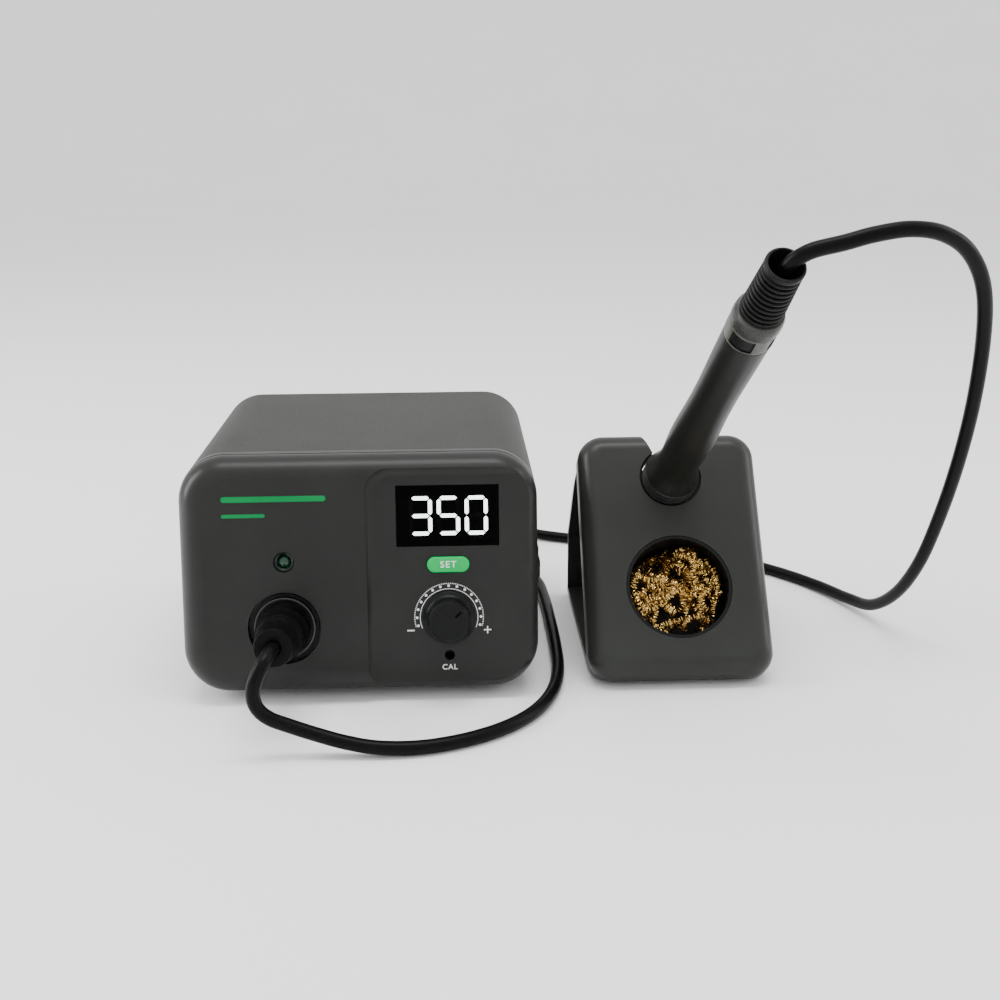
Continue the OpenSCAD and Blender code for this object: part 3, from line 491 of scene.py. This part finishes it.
def make_button():
    """Set button: a stadium with a softly crowned, rounded top."""
    width, height = 16.6, 6.2
    levels = [(0, ZONE - 2.7), (0, ZONE + 0.3), (0.12, ZONE + 0.58), (0.35, ZONE + 0.74),
              (0.8, ZONE + 0.8), (2.0, ZONE + 0.84)]
    vertices, faces = [], []
    for inset, z in levels:
        ring = stadium_outline(width - 2 * inset, height - 2 * inset)
        vertices += [(x, y, z) for x, y in ring]
    n = len(ring)
    for i in range(len(levels) - 1):
        for k in range(n):
            j = (k + 1) % n
            faces.append((i * n + k, i * n + j, (i + 1) * n + j, (i + 1) * n + k))
    faces.append(tuple((len(levels) - 1) * n + k for k in range(n)))
    mesh = mesh_from("set_button_cap", vertices, faces, at(FACE, COLUMN_X, BUTTON_Y))
    piece = add_object("set_button_cap", mesh, [materials["green_plastic"]])
    dress(piece, "set_button", "green_plastic", "set_button")


def make_lamp():
    """Indicator: a dark ring with a small domed green lens inside it."""
    place = at(FACE, LAMP_X, LAMP_Y)
    ring = rounded([(2.35, -7), (2.35, -1.8), (2.9, -1.3), (3.6, -0.9), (3.95, -1.2), (3.95, -6)],
                   0.25, 4)
    bezel = add_object("lamp_ring", lathe("lamp_ring", ring, place, 72), [materials["green_lens"]])
    dress(bezel, "station", "green_lens", "indicator_lens")
    dome = [(0, -0.75)] + [(2.3 * math.sin(a), -2.2 + 1.45 * math.cos(a))
                           for a in [math.radians(d) for d in range(12, 91, 13)]] + [(2.3, -8)]
    lens_finish = surface("lamp_lens", (0.002, 0.03, 0.012), 0.14, rough_vary=0.03, grain=0.001,
                          depth=0.00001, Emission_Color=(0.02, 0.4, 0.16, 1),
                          Emission_Strength=0.012)
    lens = add_object("lamp_lens", lathe("lamp_lens", dome, place, 48), [lens_finish])
    dress(lens, "station", "green_lens", "indicator_led")


def make_display():
    """Bars of the three digits: the lit ones, and the others just visible in the dark window."""
    ghost = surface("unlit_bars", (0.0014, 0.0014, 0.0017), 0.3, grain=0.0006, depth=0.000002,
                    Specular_IOR_Level=0.03)
    digits = ["1111001", "1011011", "1111110"]
    w, h, digit_pitch, shift, thick, gap = 7.4, 6.9, 10.8, 0.4, 1.5, 0.7
    places = [(0, h, 0), (w / 2, h / 2, 90), (w / 2, -h / 2, 90), (0, -h, 0), (-w / 2, -h / 2, 90),
              (-w / 2, h / 2, 90), (0, 0, 0)]

    def bars(name, state, z, finish, slot, *replaced):
        vertices, faces = [], []
        for i, lit in enumerate(digits):
            for k, (x, y, turn) in enumerate(places):
                if lit[k] != state:
                    continue
                half, t = ((w if turn == 0 else h) - gap) / 2, thick / 2
                bar = [(-half, 0), (-half + t, t), (half - t, t), (half, 0), (half - t, -t),
                       (-half + t, -t)]
                if turn:
                    bar = [(-v, u) for u, v in bar]
                first = len(vertices)
                across = shift + (i - 1) * digit_pitch + x
                vertices += [(across + u, y + v, z) for u, v in bar]
                faces.append(tuple(range(first, first + 6)))
        mesh = mesh_from(name, vertices, faces, at(FACE, COLUMN_X, WINDOW_Y))
        dress(add_object(name, mesh, [finish], None), "station", slot, *replaced)

    bars("lit_bars", "1", ZONE - 0.12, materials["lit_segments"], "lit_segments",
         "display_segments")
    bars("unlit_bars", "0", ZONE - 0.15, ghost, "window")


def make_plug():
    """Moulded plug: a keyed head, a tapered sleeve with three grooves and a blunt end."""
    place = at(FACE, SOCKET_X, SOCKET_Y)
    head_r, key_r, key_low, key_high, key_half = 10.2, 9.1, 2.4, 7.6, 3.9
    outline = [(0, -9.4), (9.4, -9.4), (9.4, -0.4), (head_r, 0.3), (head_r, 9.2), (9.5, 10.8)]
    taper = lambda z: 9.5 - (z - 10.8) * 0.102
    outline += [(taper(z), z) for z in (13, 16.4)]
    for groove in (16.8, 19.4, 22):
        floor = taper(groove) - 0.45
        outline += [(taper(groove), groove), (floor, groove + 0.12), (floor, groove + 0.75),
                    (taper(groove + 0.9), groove + 0.9)]
    outline += [(taper(28), 28), (7.1, 33), (2.9, 33), (2.7, 32.4), (2.7, 26)]
    profile = rounded(outline, 0.55, 4)

    def keyed(radius, angle, z):
        """A flat cut into the top of the head."""
        across, up = abs(radius * math.cos(angle)), radius * math.sin(angle)
        flat = key_low < z < key_high and across < key_half and up > key_r
        return key_r / math.sin(angle) if flat else radius

    corner = next(i for i, (radius, z) in enumerate(profile)
                  if radius > 10.1 and abs(z - 0.3) < 0.4)
    levels = [(head_r, z) for z in (2.35, 2.45, 5, 7.55, 7.65)]
    profile[corner + 1:corner + 1] = levels
    mesh = lathe("plug_moulding", list(dict.fromkeys(profile)), place, 144, keyed)
    dress(add_object("plug_moulding", mesh, [materials["cord_rubber"]]), "plug", "cord_rubber",
          "plug_body")


def make_socket_rim():
    """Polished lip round the socket's opening."""
    outline = rounded([(11.1, -1.4), (11.1, -0.5), (11.9, -0.5), (11.9, -1.4)], 0.3, 5)
    rim = surface("socket_lip", (0.03, 0.03, 0.03), 0.2, rough_vary=0.03, grain=0.0008,
                  depth=0.000004)
    mesh = lathe("socket_lip", outline, at(FACE, SOCKET_X, SOCKET_Y), 96)
    dress(add_object("socket_lip", mesh, [rim]), "station", "black_plastic")


def make_dial_print():
    """Fine scale round the knob: an arc with feet, fifteen dots, short dashes and the two signs."""
    vertices, faces = [], []

    def patch(points):
        first = len(vertices)
        vertices.extend((x, y, z) for z in (ZONE, ZONE + 0.08) for x, y in points)
        n = len(points)
        faces.append(tuple(range(first + n, first + 2 * n)))
        for k in range(n):
            j = (k + 1) % n
            faces.append((first + k, first + j, first + n + j, first + n + k))

    def around(radius, degrees):
        angle = math.radians(degrees)
        return radius * math.sin(angle), radius * math.cos(angle)

    half_sweep, end = 105, 112
    outer_arc = [around(11.42, d) for d in range(-end, end + 1, 2)]
    patch(outer_arc + [around(11.17, d) for d in range(end, -end - 1, -2)])
    for i in range(15):
        x, y = around(12.5, 15 * i - half_sweep)
        patch([(x + 0.52 * math.cos(math.radians(a)), y + 0.52 * math.sin(math.radians(a)))
               for a in range(0, 360, 20)])
    for i in range(71):
        low, high = 3 * i - half_sweep - 0.7, 3 * i - half_sweep + 0.7
        patch([around(13.22, low), around(13.62, low), around(13.62, high), around(13.22, high)])
    for x, y, wide, high in ((-15, -5.05, 2.9, 0.5), (15, -5.3, 2.9, 0.45), (15, -5.3, 0.45, 2.9)):
        right, top = x + wide / 2, y + high / 2
        left, bottom = x - wide / 2, y - high / 2
        patch([(left, bottom), (right, bottom), (right, top), (left, top)])
    mesh = mesh_from("dial_print", vertices, faces, at(FACE, COLUMN_X, DIAL_Y))
    piece = add_object("dial_print", mesh, [materials["print_white"]], None)
    dress(piece, "station", "print_white", "dial_scale")


make_knob()
make_dial_print()
make_button()
make_lamp()
make_display()
make_plug()
make_socket_rim()
label("label_set", "SET", 3.6, 1.2, 0.04, at(FACE, COLUMN_X, BUTTON_Y + 0.05, ZONE + 0.86),
      materials["print_white"], "set_button")
label("label_cal", "CAL", 3.0, 1.14, 0.03, at(FACE, COLUMN_X, 11.1, ZONE + 0.02),
      materials["print_white"], "station")


# ---------------------------------------------------------------- iron

def make_iron():
    grip = flowing([(11.3, 3.7, 0), (11, 5, 0), (10, 8, 0), (9.2, 11, 0), (8.7, 15, 0),
                    (8.55, 20, 0), (8.75, 25, 0), (9, 32, 0), (9, 38, 0), (8.85, 44, 0),
                    (8.5, 52, 0), (8.2, 62, 0), (8.15, 72, 0), (8.25, 80, 0), (8.45, 90, 0),
                    (8.6, 100, 0), (8.7, 108.9, 0)], 1.5)
    profile = [(7.2, 3.7), (10.9, 3.7)] + [(p.x, p.y) for p in grip] + [(8.5, 109), (7.2, 109)]
    mesh = lathe("grip_sleeve", profile, IRON, 128)
    dress(add_object("grip_sleeve", mesh, [materials["grip_rubber"]]), "iron", "grip_rubber",
          "iron_grip")

    outline = [(7.6, -4.2), (10.9, -4.2), (11.6, -3.6)]
    for groove in (-2.3, -0.9, 0.5, 1.9):
        outline += [(11.6, groove - 0.15), (11.05, groove), (11.05, groove + 0.45),
                    (11.6, groove + 0.6)]
    outline += [(11.6, 3.1), (11.3, 3.6), (7.6, 3.6)]
    mesh = lathe("collar_ring", rounded(outline, 0.12, 3), IRON, 128)
    dress(add_object("collar_ring", mesh, [materials["grip_rubber"]]), "iron", "grip_rubber",
          "iron_collar")


def make_ring():
    """Smoke-tinted sleeve: a paler band with sunk dark windows below a darker, rounded shoulder."""
    smoke = surface("smoked_sleeve", (0.034, 0.037, 0.031), 0.32, second=(0.085, 0.09, 0.075),
                    cloud=0.006, grain=0.0006, depth=0.00001, Specular_IOR_Level=0.3)
    dark = surface("sleeve_shoulder", (0.012, 0.013, 0.011), 0.3, second=(0.03, 0.032, 0.027),
                   cloud=0.008, grain=0.0006, depth=0.00001, Specular_IOR_Level=0.3)
    outline = [(7.2, 109.1), (8.65, 109.1), (8.75, 109.6), (8.85, 113), (8.85, 117.2),
               (8.78, 117.4), (8.78, 117.7), (9, 118), (9, 120.5), (8.75, 122.4), (8.2, 123.9),
               (7.2, 124)]
    edges = [(8.84, z) for z in (110.3, 110.4, 116.3, 116.4)]
    profile = sorted(set(rounded(outline, 0.3, 4)[:-1] + edges), key=lambda p: (p[1], p[0]))
    profile.append(outline[-1])
    windows = [(-2.25, 0.5), (-0.9, 0.16), (0.8, 0.5), (2.2, 0.16)]

    def sunk(radius, angle, z):
        inside = any(abs((angle - middle + math.pi) % (2 * math.pi) - math.pi) < half
                     for middle, half in windows)
        return radius - 0.5 if inside and 110.35 < z < 116.35 and radius > 8 else radius

    mesh = lathe("iron_sleeve", profile, IRON, 160, sunk)
    piece = add_object("iron_sleeve", mesh, [smoke, materials["black_plastic"], dark])
    back = IRON.inverted()
    for face in mesh.polygons:
        centre = back @ face.center
        if centre.z > 117.3:
            face.material_index = 2
        elif 110.2 < centre.z < 116.5 and 8 < math.hypot(centre.x, centre.y) < 8.6:
            face.material_index = 1
    dress(piece, "iron", "black_plastic", "iron_ring")


def make_relief():
    """Strain relief: ten rounded ribs on a tapering core, slots between them and an open lip."""
    outline = [(5.5, 112.2), (5.5, 124), (7, 124.1)]
    pitch = 2.25
    core = lambda z: 6.6 - (z - 124) * 0.03
    for i in range(10):
        z, r = 124.2 + i * pitch, 7.6 - 0.08 * i
        outline += [(core(z), z), (r - 0.3, z + 0.08), (r, z + 0.4), (r, z + 0.85),
                    (r - 0.3, z + 1.2), (core(z + 1.3), z + 1.3)]
    lip = [(6.1, 146.5), (6.7, 146.6), (6.9, 147), (6.9, 148.4), (6.5, 149), (5.9, 149)]
    outline += lip + [(5.7, 148.4), (5.3, 145.5), (3.1, 138), (2.95, 112.2)]
    profile = rounded(outline, 0.22, 3)

    def cuts(radius, angle, z):
        """Dark slots between the ribs, in pairs that change side from rib to rib."""
        row = math.floor((z - 125) / pitch)
        across = math.cos(angle) if row % 2 else math.sin(angle)
        deep = 124.5 < z < 146.5 and 5.7 < radius < 6.65 and abs(across) > 0.35
        return radius - 0.5 if deep else radius

    mesh = lathe("strain_relief", profile, IRON, 128, cuts)
    dress(add_object("strain_relief", mesh, [materials["rubber"]]), "iron", "rubber",
          "iron_relief")


make_iron()
make_ring()
make_relief()


# ---------------------------------------------------------------- brass wool

def make_wool():
    """Curled brass shavings: thin strips wound into little springs that wander through the cup."""
    dice = random.Random(11)
    place = at(PLATE, 0.4, 44)
    cup_r, strands, stride, parts, thick = 20.1, 72, 0.6, 15, 0.08
    vertices, faces = [], []

    def top_at(x, y):
        """Height of the heap: domed, a hollow at its upper left and a cleft right of middle."""
        hollow = math.exp(-((x + 8) ** 2 + (y - 15) ** 2) / 60)
        cleft = math.exp(-((x - 4) ** 2 / 5 + (y - 2) ** 2 / 60))
        low = math.exp(-((x - 4) ** 2 / 50 + (y + 17) ** 2 / 16))
        return -1.4 - (x * x + y * y) / 190 - 9 * hollow - 4 * cleft - 5 * low

    for strand in range(strands):
        coil_r = dice.uniform(1.15, 1.9)
        pitch = dice.uniform(1.0, 1.5)
        width = dice.uniform(0.24, 0.4)
        reach = (cup_r - coil_r) * math.sqrt(dice.random())
        around = dice.uniform(0, 2 * math.pi)
        x, y = reach * math.cos(around), reach * math.sin(around)
        heading = dice.uniform(0, 2 * math.pi)
        under = coil_r + dice.uniform(0, 1) ** 1.5 * 8
        bend = dice.uniform(-0.14, 0.14)
        centre = []
        for _ in range(dice.randint(14, 28)):
            heading += bend + dice.uniform(-0.08, 0.08)
            nx, ny = x + stride * math.cos(heading), y + stride * math.sin(heading)
            if math.hypot(nx, ny) > cup_r - coil_r:
                heading += math.pi * 0.4
                continue
            x, y = nx, ny
            wave = 0.5 * math.sin(0.5 * len(centre) + strand)
            centre.append(Vector((x, y, top_at(x, y) - under + wave)))
        if len(centre) < 6:
            continue
        steps = int(stride * len(centre) / pitch * parts)
        phase = dice.uniform(0, 2 * math.pi)
        side = Vector((0, 0, 1))
        first = len(vertices)
        for i in range(steps + 1):
            t = i / steps * (len(centre) - 1)
            k = min(int(t), len(centre) - 2)
            point = centre[k].lerp(centre[k + 1], t - k)
            along = (centre[k + 1] - centre[k]).normalized()
            side = (side - side.dot(along) * along).normalized()
            other = along.cross(side)
            angle = phase + 2 * math.pi * i / parts
            swell = coil_r * (1 + 0.12 * math.sin(0.21 * i + strand))
            out = side * math.cos(angle) + other * math.sin(angle)
            for u, v in ((-1, 0), (-1, 1), (1, 1), (1, 0)):
                vertices.append(point + out * (swell + v * thick) + along * (u * width / 2))
            if i:
                a, b = first + (i - 1) * 4, first + i * 4
                for j in range(4):
                    m = (j + 1) % 4
                    faces.append((a + j, a + m, b + m, b + j))
    mesh = bpy.data.meshes.new("wool_shavings")
    mesh.from_pydata([place @ v for v in vertices], [], faces)
    # Its brass finish carries painted glints and painted shade in its dark-to-gold patches.
    piece = add_object("wool_shavings", mesh, [materials["brass_turnings"]], 60)
    dress(piece, "station", "brass_turnings", "brass_wool")


make_wool()


# ---------------------------------------------------------------- stage

def make_stage():
    floor_finish = surface("studio_floor", (0.9, 0.9, 0.9), 0.6, vary=0.01, grain=0.004,
                           depth=0.00001, cloud=0.3)
    flat, bend, height = 2500, 3500, 4500
    rim = [(flat + bend * math.sin(a), height * (1 - math.cos(a)))
           for a in [math.radians(d) for d in range(3, 91, 3)]]
    mesh = lathe("studio_floor", [(0, 0), (flat, 0)] + rim, Matrix.Scale(MM, 4), 96)
    add_object("studio_floor", mesh, [floor_finish], 60)
    world = bpy.data.worlds.new("studio")
    world.use_nodes = True
    world.node_tree.nodes["Background"].inputs["Color"].default_value = (1, 1, 1, 1)
    world.node_tree.nodes["Background"].inputs["Strength"].default_value = 1.5
    bpy.context.scene.world = world


def soft_light(name, position, target, width, height, power):
    lamp = bpy.data.lights.new(name, "AREA")
    lamp.shape = "RECTANGLE"
    lamp.size, lamp.size_y = width, height
    lamp.energy = power
    light = bpy.data.objects.new(name, lamp)
    bpy.context.scene.collection.objects.link(light)
    towards = Vector(target) - Vector(position)
    light.matrix_world = (Matrix.Translation(position)
                          @ towards.to_track_quat("-Z", "Y").to_matrix().to_4x4())


make_stage()
soft_light("overhead", (0, -0.05, 1.3), (0, 0, 0.05), 0.9, 0.35, 11)
soft_light("left_strip", (-1.2, 0.0, 0.55), (-0.05, 0, 0.06), 0.22, 0.9, 14)
soft_light("right_strip", (1.25, 0.1, 0.6), (0.08, 0, 0.08), 0.22, 0.9, 5)
